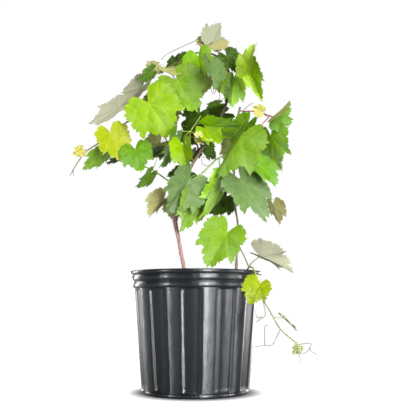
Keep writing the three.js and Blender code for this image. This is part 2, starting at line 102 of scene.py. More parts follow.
bpy.ops.object.select_all(action="DESELECT")
pot_profile = profile_of_the_pot()
radius, height = pot_profile[0]
bpy.ops.mesh.primitive_circle_add(vertices=POT_COLUMNS, radius=radius * MM, fill_type="NOTHING",
                                  location=(0, 0, height * MM))
pot = bpy.context.object
pot.name = "pot_shell"
bpy.ops.object.transform_apply(location=True, rotation=True, scale=True)
bpy.ops.object.mode_set(mode="EDIT")
for next_radius, next_height in pot_profile[1:]:
    rise = (next_height - height) * MM
    bpy.ops.mesh.extrude_edges_move(TRANSFORM_OT_translate={"value": (0, 0, rise)})
    grow = next_radius / radius
    bpy.ops.transform.resize(value=(grow, grow, 1), center_override=(0, 0, next_height * MM))
    radius, height = next_radius, next_height
bpy.ops.mesh.edge_face_add()  # the floor inside
bpy.ops.mesh.select_all(action="DESELECT")
bpy.ops.object.mode_set(mode="OBJECT")
for corner in pot.data.vertices:
    corner.select = abs(corner.co.z) < 0.01 * MM
bpy.ops.object.mode_set(mode="EDIT")
bpy.ops.mesh.edge_face_add()  # the flat underside
bpy.ops.mesh.select_all(action="SELECT")
bpy.ops.mesh.normals_make_consistent(inside=False)
bpy.ops.object.mode_set(mode="OBJECT")

for corner in pot.data.vertices:
    x, y, z = (value / MM for value in corner.co)
    reach = math.hypot(x, y)
    if FOOT_HEIGHT <= z < BAND_FOOT and abs(reach - wall_radius(z)) < 0.2:
        pushed = (reach - RIB_DEPTH * panel_share(x, y, z)) / reach
        corner.co.x *= pushed
        corner.co.y *= pushed
bpy.ops.object.shade_smooth_by_angle(angle=math.radians(POT_CREASE))


def paint(hex_colour):
    """An sRGB hex colour as the linear value that a shader takes."""
    parts = [int(hex_colour[i:i + 2], 16) / 255 for i in (1, 3, 5)]
    linear = [c / 12.92 if c <= 0.04045 else ((c + 0.055) / 1.055) ** 2.4 for c in parts]
    return (*linear, 1.0)


def add(tree, kind, inputs, **settings):
    """Adds a shader node. An input takes a value, an output, or a node for its first output."""
    made = tree.nodes.new("ShaderNode" + kind)
    for key, value in settings.items():
        setattr(made, key, value)
    for key, value in inputs.items():
        if isinstance(value, bpy.types.Node):
            value = value.outputs[0]
        if isinstance(value, bpy.types.NodeSocket):
            tree.links.new(value, made.inputs[key])
        else:
            made.inputs[key].default_value = value
    return made


def new_material(name):
    """An empty material, its node tree, and the object coordinates that its patterns follow."""
    material = bpy.data.materials.new(name)
    material.use_nodes = True
    material.node_tree.nodes.clear()
    place = add(material.node_tree, "TexCoord", {})
    return material, material.node_tree, place.outputs["Object"]


# Moulded polyethylene with carbon black: a dense, even black with a waxy gloss. The mould leaves a
# fine orange peel, and drawing the pot from the mould leaves faint upright streaks in the gloss.
moulded_black, tree, place = new_material("moulded_black_polyethylene")
upright = add(tree, "Mapping", {"Vector": place, "Scale": (1, 1, 0.06)})
streaks = add(tree, "TexNoise",
              {"Vector": upright, "Scale": 1 / (9 * MM), "Detail": 4.0, "Roughness": 0.6})
gloss = add(tree, "MapRange",
            {"Value": streaks, "From Min": 0.3, "From Max": 0.7, "To Min": 0.26, "To Max": 0.42})
peel = add(tree, "TexNoise", {"Vector": place, "Scale": 1 / (5 * MM), "Detail": 2.0})
relief = add(tree, "Bump", {"Height": peel, "Strength": 0.4, "Distance": 0.5 * MM})
wavy = add(tree, "TexNoise", {"Vector": place, "Scale": 1 / (22 * MM), "Detail": 1.0})
dented = add(tree, "Bump",
             {"Height": wavy, "Strength": 0.5, "Distance": 1.2 * MM, "Normal": relief})
round_the_pot = add(tree, "Tangent", {}, direction_type="RADIAL", axis="Z")
shell = add(tree, "BsdfPrincipled",
            {"Base Color": paint("#0a0e12"), "IOR": 1.5, "Roughness": gloss, "Anisotropic": 0.8,
             "Anisotropic Rotation": 0.25, "Tangent": round_the_pot, "Normal": dented})
add(tree, "OutputMaterial", {"Surface": shell})

pot.data.materials.append(moulded_black)
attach(pot, "root")
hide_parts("pot")


# Potting mix. Composted bark, peat and a little white perlite, watered down to a lumpy top some 20
# mm below the lip. Only its top shows, so it is a thick cake with chips of bark strewn on it.

SOIL_TOP = 218.0
SOIL_FOOT = 120.0
SOIL_ROWS = 26
SOIL_COLUMNS = 120
SOIL_LUMP = 3.0  # height of the lumps
SOIL_CREASE = 50
BARK_CHIPS = 420
PERLITE_GRAINS = 150
STREWN_REACH = 112.0  # how far from the middle they lie


def chance(seed):
    """A repeatable number from 0 to 1 for each seed."""
    n = math.sin(seed * 12.9898 + 4.1414) * 43758.5453
    return n - math.floor(n)


bpy.ops.object.select_all(action="DESELECT")
soil_side = inner_radius(SOIL_TOP - 8) + 2.2  # the pot widens towards its mouth
bpy.ops.mesh.primitive_circle_add(vertices=SOIL_COLUMNS, radius=inner_radius(SOIL_FOOT) * MM,
                                  fill_type="NGON", location=(0, 0, SOIL_FOOT * MM))
soil = bpy.context.object
soil.name = "potting_mix"
bpy.ops.object.transform_apply(location=True, rotation=True, scale=True)
bpy.ops.object.mode_set(mode="EDIT")
cake_height = (SOIL_TOP - SOIL_FOOT) * MM
bpy.ops.mesh.extrude_region_move(TRANSFORM_OT_translate={"value": (0, 0, cake_height)})
widen = soil_side / inner_radius(SOIL_FOOT)
bpy.ops.transform.resize(value=(widen, widen, 1), center_override=(0, 0, SOIL_TOP * MM))
for row in range(SOIL_ROWS):
    left = 1 - (row + 1) / (SOIL_ROWS + 1)
    shrink = left / (1 - row / (SOIL_ROWS + 1))
    bpy.ops.mesh.inset(thickness=0, depth=0)
    bpy.ops.transform.resize(value=(shrink, shrink, 1), center_override=(0, 0, SOIL_TOP * MM))
bpy.ops.mesh.select_all(action="SELECT")
bpy.ops.mesh.normals_make_consistent(inside=False)
bpy.ops.object.mode_set(mode="OBJECT")


def soil_height(x, y):
    """Height of the lumpy top, from a few crossing waves; it sinks a little towards the wall."""
    waves = (math.sin(0.11 * x + 1.3) * math.sin(0.09 * y + 0.4)
             + 0.6 * math.sin(0.23 * x - 0.19 * y)
             + 0.4 * math.sin(0.41 * x + 0.37 * y + 2.0) * math.sin(0.5 * y))
    return SOIL_TOP - 1.5 + 0.5 * SOIL_LUMP * waves - 2.5 * (math.hypot(x, y) / 123) ** 4


for corner in soil.data.vertices:
    x, y, z = (value / MM for value in corner.co)
    if z > SOIL_TOP - 1:
        corner.co.z = soil_height(x, y) * MM
bpy.ops.object.shade_smooth_by_angle(angle=math.radians(SOIL_CREASE))


def mesh_piece(name, points, faces, kinds, materials, node=None):
    """A piece from arrays in millimetres; kinds numbers the material of each face, or of all."""
    mesh = bpy.data.meshes.new(name)
    mesh.from_pydata((np.asarray(points) * MM).tolist(), [], faces)
    for material in materials:
        mesh.materials.append(material)
    mesh.polygons.foreach_set("material_index", np.full(len(faces), kinds, dtype=np.int32))
    mesh.polygons.foreach_set("use_smooth", np.ones(len(faces), dtype=bool))
    mesh.update()
    piece = bpy.data.objects.new(name, mesh)
    bpy.context.scene.collection.objects.link(piece)
    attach(piece, "root")
    if node:
        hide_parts(node)
    return piece


def strewn(count, seed, smallest, largest, flatness):
    """Small lumps lying on the mix, as six-cornered double pyramids turned every way."""
    points, faces = [], []
    for i in range(count):
        s = seed + 10 * i
        reach = STREWN_REACH * math.sqrt(chance(s))
        turn = 2 * math.pi * chance(s + 1)
        x, y = reach * math.cos(turn), reach * math.sin(turn)
        size = smallest + (largest - smallest) * chance(s + 2) ** 2
        heading = 2 * math.pi * chance(s + 3)
        tilt = 0.5 * (chance(s + 4) - 0.5)
        ax = np.array([math.cos(heading), math.sin(heading), tilt])
        ay = np.array([-math.sin(heading), math.cos(heading), 0]) * (0.4 + 0.3 * chance(s + 5))
        az = np.array([-tilt, 0, 1]) * flatness
        centre = np.array([x, y, soil_height(x, y) + 0.3 * size * flatness])
        base = len(points)
        ring = [ax, 0.5 * ax + ay, -0.6 * ax + 0.8 * ay, -ax, -0.4 * ax - ay, 0.6 * ax - 0.9 * ay]
        points += [centre + 0.5 * size * p for p in ring]
        points += [centre + 0.5 * size * az, centre - 0.5 * size * az]
        for k in range(6):
            after = (k + 1) % 6
            faces.append((base + k, base + after, base + 6))
            faces.append((base + after, base + k, base + 7))
    return points, faces


# Composted bark and peat: matt, nearly black when moist, with browner crumbs of 2 to 6 mm.
moist_compost, tree, place = new_material("moist_composted_bark")
crumbs = add(tree, "TexVoronoi", {"Vector": place, "Scale": 1 / (4 * MM)})
browns = add(tree, "ValToRGB", {"Fac": crumbs})
browns.color_ramp.elements[0].color = paint("#4a3424")
browns.color_ramp.elements[1].color = paint("#1d140e")
crumbled = add(tree, "Bump", {"Height": crumbs, "Strength": 0.9, "Distance": 1.5 * MM}, invert=True)
compost = add(tree, "BsdfPrincipled",
              {"Base Color": browns, "Roughness": 0.95, "IOR": 1.45, "Normal": crumbled})
add(tree, "OutputMaterial", {"Surface": compost})

# Chips of pine bark: dry, matt, reddish brown, lighter than the mix under them.
bark_chip, tree, place = new_material("dry_pine_bark")
grain = add(tree, "TexNoise", {"Vector": place, "Scale": 1 / (6 * MM)})
reds = add(tree, "ValToRGB", {"Fac": grain})
reds.color_ramp.elements[0].color = paint("#3a2417")
reds.color_ramp.elements[1].color = paint("#8a6243")
chip = add(tree, "BsdfPrincipled", {"Base Color": reds, "Roughness": 0.9, "IOR": 1.45})
add(tree, "OutputMaterial", {"Surface": chip})

# Perlite: expanded volcanic glass, matt and chalk white.
perlite, tree, place = new_material("expanded_perlite")
pores = add(tree, "TexNoise", {"Vector": place, "Scale": 1 / (1 * MM)})
rough = add(tree, "Bump", {"Height": pores, "Strength": 0.6, "Distance": 0.3 * MM})
grains = add(tree, "BsdfPrincipled",
             {"Base Color": paint("#e2ded2"), "Roughness": 0.9, "IOR": 1.5, "Normal": rough})
add(tree, "OutputMaterial", {"Surface": grains})

soil.data.materials.append(moist_compost)
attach(soil, "root")
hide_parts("soil")
points, faces = strewn(BARK_CHIPS, seed=5, smallest=3, largest=13, flatness=0.3)
mesh_piece("bark_chips", points, faces, 0, [bark_chip])
points, faces = strewn(PERLITE_GRAINS, seed=7001, smallest=1.5, largest=4, flatness=0.8)
mesh_piece("perlite_grains", points, faces, 0, [perlite])


# Canes. Two canes come up from the pot: the main one, as thick as a pencil, ends in a knobbly
# head, from which a rising cane and then a thin arching one go on. Their bark is thin, lined and
# swollen at the nodes.

GAP = 0.3  # a shoot or cane starts this far clear of what it leaves


def vec(p):
    """A place or direction as an array."""
    return np.array(p, dtype=float)


def unit(v):
    """The direction of v."""
    return v / np.linalg.norm(v)


def curve_point(points, t):
    """A place on the smooth curve through the points (a centripetal Catmull-Rom curve)."""
    last = len(points) - 1
    whole = min(max(t, 0.0), 1.0) * last
    i = min(int(whole), last - 1)
    w = whole - i
    p1, p2 = points[i], points[i + 1]
    p0 = points[i - 1] if i > 0 else 2 * p1 - p2
    p3 = points[i + 2] if i + 2 <= last else 2 * p2 - p1
    pairs = ((p0, p1), (p1, p2), (p2, p3))
    d0, d1, d2 = (math.sqrt(max(np.linalg.norm(b - a), 1e-6)) for a, b in pairs)
    m1 = ((p1 - p0) / d0 - (p2 - p0) / (d0 + d1) + (p2 - p1) / d1) * d1
    m2 = ((p2 - p1) / d1 - (p3 - p1) / (d1 + d2) + (p3 - p2) / d2) * d1
    return (p1 + m1 * w + (3 * (p2 - p1) - 2 * m1 - m2) * w ** 2
            + (2 * (p1 - p2) + m1 + m2) * w ** 3)


class Line:
    """A smooth centre line, walked by shares of its length, with a radius all along it."""

    def __init__(self, points, radii, divisions=200):
        self.points = [vec(p) for p in points]
        self.radii = radii
        steps = np.linspace(0, 1, divisions + 1)
        dense = np.array([curve_point(self.points, t) for t in steps])
        lengths = np.linalg.norm(np.diff(dense, axis=0), axis=1)
        self.walked = np.concatenate([[0], np.cumsum(lengths)])
        self.steps = steps

    def at(self, share):
        t = np.interp(share * self.walked[-1], self.walked, self.steps)
        return curve_point(self.points, t)

    def ahead(self, share):
        a, b = max(share - 1e-3, 0), min(share + 1e-3, 1)
        return unit(self.at(b) - self.at(a))

    def radius(self, share):
        place = share * (len(self.radii) - 1)
        return float(np.interp(place, range(len(self.radii)), self.radii))

    def run_on(self):
        """The first two points of a line that goes on from this one's tip, a gap away."""
        end, ahead = self.at(1), self.ahead(1)
        return [end + ahead * GAP, end + ahead * (GAP + 5)]

    def branch_off(self, share, toward):
        """The first two points of a line that leaves this one's side, a gap clear of it."""
        p, along = self.at(share), self.ahead(share)
        out = vec(toward) - p
        out = unit(out - out.dot(along) * along)
        start = self.radius(share) + GAP
        return [p + out * start, p + out * (start + 5)]


def tube(line, sides, steps, swell=None):
    """Points and faces of a closed round tube along a line; swell changes its radius by place."""
    shares = np.linspace(0, 1, steps + 1)
    centres = np.array([line.at(s) for s in shares])
    heading = np.gradient(centres, axis=0)
    heading /= np.linalg.norm(heading, axis=1, keepdims=True)
    guide = np.eye(3)[np.argmin(np.abs(heading[0]))]
    across = np.cross(heading[0], guide)
    points = []
    turns = np.linspace(0, 2 * math.pi, sides, endpoint=False)
    for centre, h, share in zip(centres, heading, shares):
        across = unit(across - across.dot(h) * h)
        other = np.cross(h, across)
        r = line.radius(share) * (swell(share, turns) if swell else 1.0)
        ring = np.outer(np.cos(turns) * r, across) + np.outer(np.sin(turns) * r, other)
        points.extend(centre + ring)
    faces = []
    for i in range(steps):
        for k in range(sides):
            after = (k + 1) % sides
            a, b = i * sides + k, i * sides + after
            faces.append((a, b, b + sides, a + sides))
    faces.append(tuple(reversed(range(sides))))
    faces.append(tuple(range(steps * sides, (steps + 1) * sides)))
    return points, faces


canes = {
    "main_cane": Line([(-21, -12, 218.3), (-21, -12, 224), (-24, -12, 247), (-30, -12, 278),
                       (-36, -14, 310), (-43, -14, 345), (-42, -12, 360)],
                      [5.4, 3.9, 3.8, 3.8, 3.8, 4.9, 4.2]),
    "right_cane": Line([(84, 2, 218.3), (84, 2, 224), (83, 0, 248), (87, 2, 337), (81, 2, 379),
                        (79, 0, 432), (84, -2, 495), (84, -2, 550), (93, -4, 588)],
                       [3.4, 2.1, 2.0, 1.9, 1.8, 2.2]),
}
canes["rising_cane"] = Line(
    canes["main_cane"].run_on() + [(-33, -8, 396), (-23, -4, 429), (-11, 0, 459), (6, 4, 489),
                                   (21, 6, 513), (38, 8, 541), (51, 8, 568)],
    [3.9, 3.4, 3.2, 3, 2.8, 2.7])
canes["arching_cane"] = Line(
    canes["rising_cane"].run_on() + [(64, 8, 599), (70, 6, 629), (73, 4, 653), (62, 0, 687),
                                     (42, -4, 702), (19, -8, 708), (4, -8, 707)],
    [2.7, 2.4, 2.1, 1.8])


def bark_relief(nodes, seed):
    """Fine ridges along the bark, and a swelling at each node."""
    def swell(share, turns):
        ridges = 0.05 * np.sin(5 * turns + 3 * share) + 0.03 * np.sin(9 * turns - 11 * share)
        lumps = sum(0.22 * math.exp(-((share - place) / 0.012) ** 2) for place in nodes)
        worn = 0.03 * math.sin(60 * share + seed)
        return 1 + ridges + lumps + worn
    return swell


# First-year and older cane bark: thin, satin, pinkish brown with grey-purple lines and darker
# lenticels. The lines run up the cane, so the pattern is drawn out upwards.
def cane_bark(name, dark, light):
    material, tree, place = new_material(name)
    drawn_out = add(tree, "Mapping", {"Vector": place, "Scale": (1, 1, 0.12)})
    lines = add(tree, "TexNoise", {"Vector": drawn_out, "Scale": 1 / (2 * MM), "Detail": 5.0})
    colours = add(tree, "ValToRGB", {"Fac": lines})
    for stop, position, tone in zip(colours.color_ramp.elements, (0.32, 0.68), (dark, light)):
        stop.position, stop.color = position, paint(tone)
    lined = add(tree, "Bump", {"Height": lines, "Strength": 0.6, "Distance": 0.4 * MM})
    bark = add(tree, "BsdfPrincipled",
               {"Base Color": colours, "Roughness": 0.6, "IOR": 1.45, "Normal": lined})
    add(tree, "OutputMaterial", {"Surface": bark})
    return material


pink_bark = cane_bark("pinkish_cane_bark", "#533437", "#937165")
grey_bark = cane_bark("grey_cane_bark", "#3c3128", "#7d6a58")
# A darker copy of the bark, as painted shade for the arching cane in the leaves' shadow
shaded_bark = cane_bark("shaded_cane_bark", "#1c1712", "#4a3a2a")
for name, sides, steps, nodes, bark in (
        ("main_cane", 24, 90, (0.18, 0.42, 0.67, 0.88, 0.96), pink_bark),
        ("rising_cane", 20, 120, (0.02, 0.2, 0.42, 0.62, 0.84, 0.99), grey_bark),
        ("arching_cane", 18, 120, (0.2, 0.38, 0.6, 0.8), shaded_bark),
        ("right_cane", 18, 180, (0.1, 0.25, 0.4, 0.56, 0.7, 0.85), grey_bark)):
    points, faces = tube(canes[name], sides, steps, bark_relief(nodes, len(name)))
    mesh_piece(name + "_bark", points, faces, 0, [bark], name)


# Foliage. Each shoot is a green or reddish stem with stalked leaves in turn, and here and there a
# tendril. A leaf is a broad blade with three main lobes and a toothed edge, five main veins from
# the stalk's end, a smooth upper face and a paler, felted lower one.

# Half the outline, as degrees from the midrib and reach in midrib lengths
OUTLINE = ((0, 1.0), (8, .92), (17, .84), (26, .78), (33, .71), (37, .68), (40, .74), (45, .88),
           (52, .82), (62, .77), (77, .70), (90, .69), (100, .71), (112, .63), (126, .57),
           (140, .51), (150, .42), (156, .27), (164, .12), (180, .05))
# The columns of the blade: each main vein's angle, and the teeth between it and the next one
VEIN_ANGLES = (0, 45, 100, 180)
TEETH_BETWEEN = (6, 7, 7)
COLUMNS_PER_TOOTH = 5
LEAF_RINGS = (0.14, 0.3, 0.46, 0.62, 0.77, 0.9, 1.0)
TOOTH_DEPTH, TOOTH_VARIETY = 0.07, 0.06  # shares of the reach
LEAF_CURL = 0.1  # how far the tip curls down, in midrib lengths
QUILTING = 0.045  # how far the tissue bulges between the main veins, in midrib lengths
SLOW_WAVE, QUICK_WAVE = 0.05, 0.035  # height of the rim's waves, in midrib lengths
BLADE_THICKNESS = 0.35  # mm
FOLD_ROUNDING = 0.03  # how far from the midrib the fold is rounded, in midrib lengths
VEIN_FOOT, VEIN_TIP = 1.5 / 75, 0.4 / 75  # width of a main vein: 1.5 to 0.4 mm on a midrib of 75 mm
VEIN_CREST, VEIN_SUNK = 0.35, 0.1  # mm that its crest stands out, and its sides lie in the blade
RIB_RATE = 6  # rise of the vein map along one midrib length; a side rib is at each even value
FRONT = vec((0, -1, 0))


def leaf_columns():
    """The turn of each column round the blade, and how near it is to a tooth's point (0 to 1)."""
    degrees, points = [], []
    for low, high, teeth in zip(VEIN_ANGLES, VEIN_ANGLES[1:], TEETH_BETWEEN):
        for i in range(teeth * COLUMNS_PER_TOOTH):
            degrees.append(low + (high - low) * i / (teeth * COLUMNS_PER_TOOTH))
            points.append((1, 0.35, 0.0, 0.3, 0.65)[i % COLUMNS_PER_TOOTH])
    mirrored = [-d for d in degrees[:0:-1]]
    return np.radians(mirrored + degrees + [180]), np.array(points[:0:-1] + points + [0])


COLUMN_TURNS, TOOTH_POINTS = leaf_columns()
LEAF_COLUMNS = len(COLUMN_TURNS)
# How far each column turns from its nearest main vein; the last of VEIN_ANGLES is the notch
OFF_VEIN = np.min([np.abs(np.abs(COLUMN_TURNS) - math.radians(v)) for v in VEIN_ANGLES[:3]], axis=0)


def blade_lift(u, v, fold, seed):
    """Height of the blade over its flat, in midrib lengths: fold, curl, waves and quilting."""
    reach = np.hypot(u, v)
    angle = np.degrees(np.arctan2(np.abs(v), u))
    off_fold = np.sqrt(v * v + FOLD_ROUNDING ** 2) - FOLD_ROUNDING
    folded = off_fold * math.sin(math.radians(fold))
    veins_passed = np.interp(angle, VEIN_ANGLES, (0, 1, 2, 3))
    quilted = QUILTING * reach * np.abs(np.sin(math.pi * veins_passed))
    bend = 2 * math.pi * chance(seed)
    turn = np.arctan2(v, u)
    waved = (SLOW_WAVE * reach ** 2 * np.sin(3 * turn + bend)
             + QUICK_WAVE * reach ** 3 * np.sin(8 * turn + 2 * bend))
    return folded - LEAF_CURL * reach ** 2 + quilted + waved


def blade_rim(seed):
    """Reach of the toothed rim at every column; the teeth are of unequal size."""
    degrees, reaches = zip(*OUTLINE)
    smooth = np.interp(np.abs(np.degrees(COLUMN_TURNS)), degrees, reaches)
    tooth = np.arange(LEAF_COLUMNS) // COLUMNS_PER_TOOTH
    depth = TOOTH_DEPTH + TOOTH_VARIETY * np.sin(2.4 * tooth + 20 * chance(seed))
    return smooth * (1.02 - depth * (1 - TOOTH_POINTS))


def leaf_arrays(leaf, seed):
    """Points, faces, face kinds and vein map of one leaf. Kinds: 0 upper face, 1 lower, 2 vein."""
    at, along, face, size, fold = (leaf[key] for key in ("at", "along", "face", "size", "fold"))
    side = np.cross(face, along)
    narrow = math.cos(math.radians(fold))

    def placed(u, v, lift):
        w = blade_lift(u, v, fold, seed) * size + lift
        return (at + np.multiply.outer(u * size, along) + np.multiply.outer(v * size * narrow, side)
                + np.multiply.outer(w, face))

    rings = np.array(LEAF_RINGS)
    reach = np.outer(rings, blade_rim(seed))
    u, v = (reach * np.cos(COLUMN_TURNS)).ravel(), (reach * np.sin(COLUMN_TURNS)).ravel()
    thinned = np.repeat(np.where(rings < 1, -BLADE_THICKNESS, 0.0), LEAF_COLUMNS)
    hub = np.zeros(1)
    points = np.concatenate([placed(u, v, 0.0), placed(hub, hub, 0.0),
                             placed(u, v, thinned), placed(hub, hub, -BLADE_THICKNESS)])
    # The vein map: its first value tells the ribs, its second one is the way off the main vein
    off_vein = np.tile(OFF_VEIN, len(rings))
    across = reach.ravel() * np.sin(off_vein)
    rib = RIB_RATE * (reach.ravel() * np.cos(off_vein) - 0.9 * across)
    layer_map = np.concatenate([np.stack([rib, across], axis=1), [[0, 0]]])
    vein_map = np.concatenate([layer_map, layer_map])
    middle = len(rings) * LEAF_COLUMNS
    faces, kinds = [], []
    for layer, start in ((0, 0), (1, middle + 1)):
        turned = slice(None, None, -1 if layer else 1)
        for k in range(LEAF_COLUMNS):
            after = (k + 1) % LEAF_COLUMNS
            faces.append((start + middle, start + k, start + after)[turned])
            for i in range(len(rings) - 1):
                a, b = start + i * LEAF_COLUMNS + k, start + i * LEAF_COLUMNS + after
                faces.append((a, a + LEAF_COLUMNS, b + LEAF_COLUMNS, b)[turned])
        kinds += [layer] * (len(faces) - len(kinds))

    # The five main veins, as low ridges on both faces
    on_vein = np.isin(np.round(np.abs(np.degrees(COLUMN_TURNS))), VEIN_ANGLES[:3])
    for column in np.flatnonzero(on_vein):
        turn = COLUMN_TURNS[column]
        lead, beside = vec((math.cos(turn), math.sin(turn))), vec((-math.sin(turn), math.cos(turn)))
        steps = np.concatenate([[0], reach[:-1, column]])
        half = 0.5 * (VEIN_FOOT - (VEIN_FOOT - VEIN_TIP) * steps / steps[-1])
        for sign, base in ((1, 0.0), (-1, -BLADE_THICKNESS)):
            first = len(points)
            for offset, raised in ((-1, -VEIN_SUNK), (0, VEIN_CREST), (1, -VEIN_SUNK)):
                flat = np.outer(steps, lead) + np.outer(offset * half, beside)
                edge = placed(flat[:, 0], flat[:, 1], base + sign * raised)
                points = np.concatenate([points, edge])
            n = len(steps)
            for row in (0, 1):
                for i in range(n - 1):
                    a = first + row * n + i
                    faces.append((a, a + 1, a + 1 + n, a + n)[::sign])
                    kinds.append(2)
            vein_map = np.concatenate([vein_map, np.zeros((3 * n, 2))])
    return points, faces, kinds, vein_map


# Living leaf: a thin waxy skin over green tissue, satin above, felted and paler below. Side ribs
# are pressed into the skin and a little paler, the tissue between is mottled and finely pebbled,
# and towards the rim a pale painted sheen lies in patches, standing in for the wax's reflection.
def leaf_skin(name, colour, shade, rib_colour, roughness, rib_depth, painted_sheen=0.0):
    material, tree, place = new_material(name)
    veins = add(tree, "UVMap", {}, uv_map="veins")
    mapped = add(tree, "SeparateXYZ", {"Vector": veins})
    wave = add(tree, "Math", {0: mapped.outputs["X"], 1: 1.0}, operation="PINGPONG")
    mottle = add(tree, "TexNoise", {"Vector": place, "Scale": 1 / (14 * MM), "Detail": 3.0})
    tints = add(tree, "ValToRGB", {"Fac": mottle})
    for stop, position, tone in zip(tints.color_ramp.elements, (0.36, 0.62), (shade, colour)):
        stop.position, stop.color = position, paint(tone)
    tissue = tints
    # Painted sheen: a paler, bluer copy of the leaf colour, mixed in patches towards the rim
    if painted_sheen:
        rimward = add(tree, "MapRange",
                      {"Value": mapped.outputs["X"], "From Min": 0.5, "From Max": 5.0,
                       "To Min": 0.1, "To Max": painted_sheen})
        patches = add(tree, "TexNoise", {"Vector": place, "Scale": 1 / (34 * MM), "Detail": 2.0})
        patched = add(tree, "MapRange",
                      {"Value": patches, "From Min": 0.42, "From Max": 0.6, "To Max": rimward})
        red, green, blue, _ = paint(colour)
        pale = (1.12 * red, 1.02 * green, blue + 0.2 * green, 1.0)
        sheened = add(tree, "Mix", {0: patched, 6: tissue, 7: pale}, data_type="RGBA")
        tissue = sheened.outputs[2]
    line = add(tree, "MapRange", {"Value": wave, "From Max": 0.12, "To Min": 0.65, "To Max": 0.0})
    ribbed = add(tree, "Mix", {0: line, 6: tissue, 7: paint(rib_colour)}, data_type="RGBA")
    pillow = add(tree, "MapRange", {"Value": wave, "From Max": 0.5},
                 interpolation_type="SMOOTHSTEP")
    pressed = add(tree, "Bump", {"Height": pillow, "Strength": 0.6, "Distance": rib_depth * MM})
    cells = add(tree, "TexNoise", {"Vector": place, "Scale": 1 / (2.5 * MM), "Detail": 2.0})
    pebbled = add(tree, "Bump",
                  {"Height": cells, "Strength": 0.3, "Distance": 0.28 * rib_depth * MM,
                   "Normal": pressed})
    skin = add(tree, "BsdfPrincipled",
               {"Base Color": ribbed.outputs[2], "Roughness": roughness, "IOR": 1.42,
                "Specular IOR Level": 0.13, "Normal": pebbled})
    add(tree, "OutputMaterial", {"Surface": skin})
    return material


# Each tint has two tones of the upper face, the lower face, and the veins
TINTS = {
    "fresh": ("#708f01", "#628500", "#7a8620", "#869a0e"),
    "lime": ("#89920c", "#798806", "#7f8831", "#92982d"),
    "spring": ("#6c7c01", "#606f00", "#7f8420", "#8b940e"),
    "bright": ("#75a101", "#669201", "#98a91d", "#83a22b"),
    "soft": ("#618116", "#547511", "#737e45", "#728c2c"),
    "grass": ("#8cab10", "#73960d", "#a6ab78", "#a1b73b"),
    "mid": ("#547c06", "#446a04", "#7a8345", "#68872b"),
    "blue": ("#546a38", "#47612f", "#5a6151", "#667a4f"),
    # The darkest tint paints the shade in which the inner and back leaves hang
    "deep": ("#324c0c", "#243708", "#868951", "#516c1f"),
    "young": ("#b8b459", "#a9a845", "#b5b07f", "#c7c38e"),
    "felt": ("#808758", "#6e754a", "#9a9a81", "#a7a794"),
    "silver": ("#6b7449", "#5c643d", "#81856d", "#8c907d"),
    "olive": ("#797b41", "#666835", "#878455", "#989667"),
}
SHALLOW_RIBS, DEEP_RIBS = 0.25, 0.9  # mm; young and felted leaves have shallow ones
SMOOTH = 0.1  # relief of a vein or stem, mm
# How strong the painted sheen is at the rim
PAINTED_SHEEN = 0.9
skins = {}
for tint, (bright, dark, under, vein) in TINTS.items():
    ribs = SHALLOW_RIBS if tint in ("young", "silver", "felt") else DEEP_RIBS
    skins[tint] = (leaf_skin(f"leaf_{tint}_upper", bright, dark, vein, 0.45, ribs, PAINTED_SHEEN),
                   leaf_skin(f"leaf_{tint}_lower", under, under, vein, 0.8, 0.4 * ribs),
                   leaf_skin(f"leaf_{tint}_vein", vein, bright, vein, 0.5, SMOOTH))

# Green wood of this year: juicy and smooth, satin, with a flush of red where the sun reaches it.
# Tendrils turn grey as they age.
stem_skins = {}
for skin, name, light, dark, roughness in (
        ("green", "green_shoot", "#86a048", "#688636", 0.45),
        ("dull", "dull_green_shoot", "#64743c", "#4c5a2e", 0.5),
        ("red", "reddish_shoot", "#94604a", "#6e4032", 0.45),
        ("brown", "brownish_shoot", "#75623f", "#52432e", 0.5),
        ("yellow", "yellowish_shoot", "#b8b244", "#9c9a34", 0.45),
        ("grey", "grey_tendril", "#6a5f50", "#4a4238", 0.55)):
    stem_skins[skin] = leaf_skin(name, light, dark, light, roughness, SMOOTH)

STEM_SIDES, STALK_SIDES = 10, 6
TENDRIL_RADII = [0.75, 0.65, 0.5]
front_leaves = []  # of all front shoots, for the rule by which the back shoots grow


def round_parts(lines):
    """Tubes along lines, each given as line, sides, steps and face kind; no rib shows on them."""
    parts = []
    for line, sides, steps, kind in lines:
        points, faces = tube(line, sides, steps)
        parts.append((points, faces, [kind] * len(faces), np.full((len(points), 2), 0.5)))
    return parts


def foliage_piece(name, parts, materials, node):
    """Makes one piece from parts, each with its points, faces, face kinds and vein map."""
    points, faces, kinds, vein_map = [], [], [], []
    for part_points, part_faces, part_kinds, part_map in parts:
        base = len(points)
        points.extend(part_points)
        faces += [tuple(base + n for n in f) for f in part_faces]
        kinds += part_kinds
        vein_map.extend(part_map)
    piece = mesh_piece(name, points, faces, kinds, materials, node)
    layer = piece.data.uv_layers.new(name="veins")
    corners = np.empty(len(piece.data.loops), dtype=np.int32)
    piece.data.loops.foreach_get("vertex_index", corners)
    layer.data.foreach_set("uv", np.array(vein_map)[corners].astype(np.float32).ravel())


def leaf_at(at, heading, lean, turn, size, fold, tint):
    """A leaf by its heart, pose as seen from the front, midrib in millimetres, fold and tint."""
    a, b, r = (math.radians(v) for v in (heading, lean, turn))
    along = vec((math.cos(a) * math.cos(b), math.sin(b), math.sin(a) * math.cos(b)))
    square = unit(FRONT - FRONT.dot(along) * along)
    face = square * math.cos(r) + np.cross(square, along) * math.sin(r)
    return {"at": vec(at), "along": along, "face": face, "size": size, "fold": fold, "tint": tint}


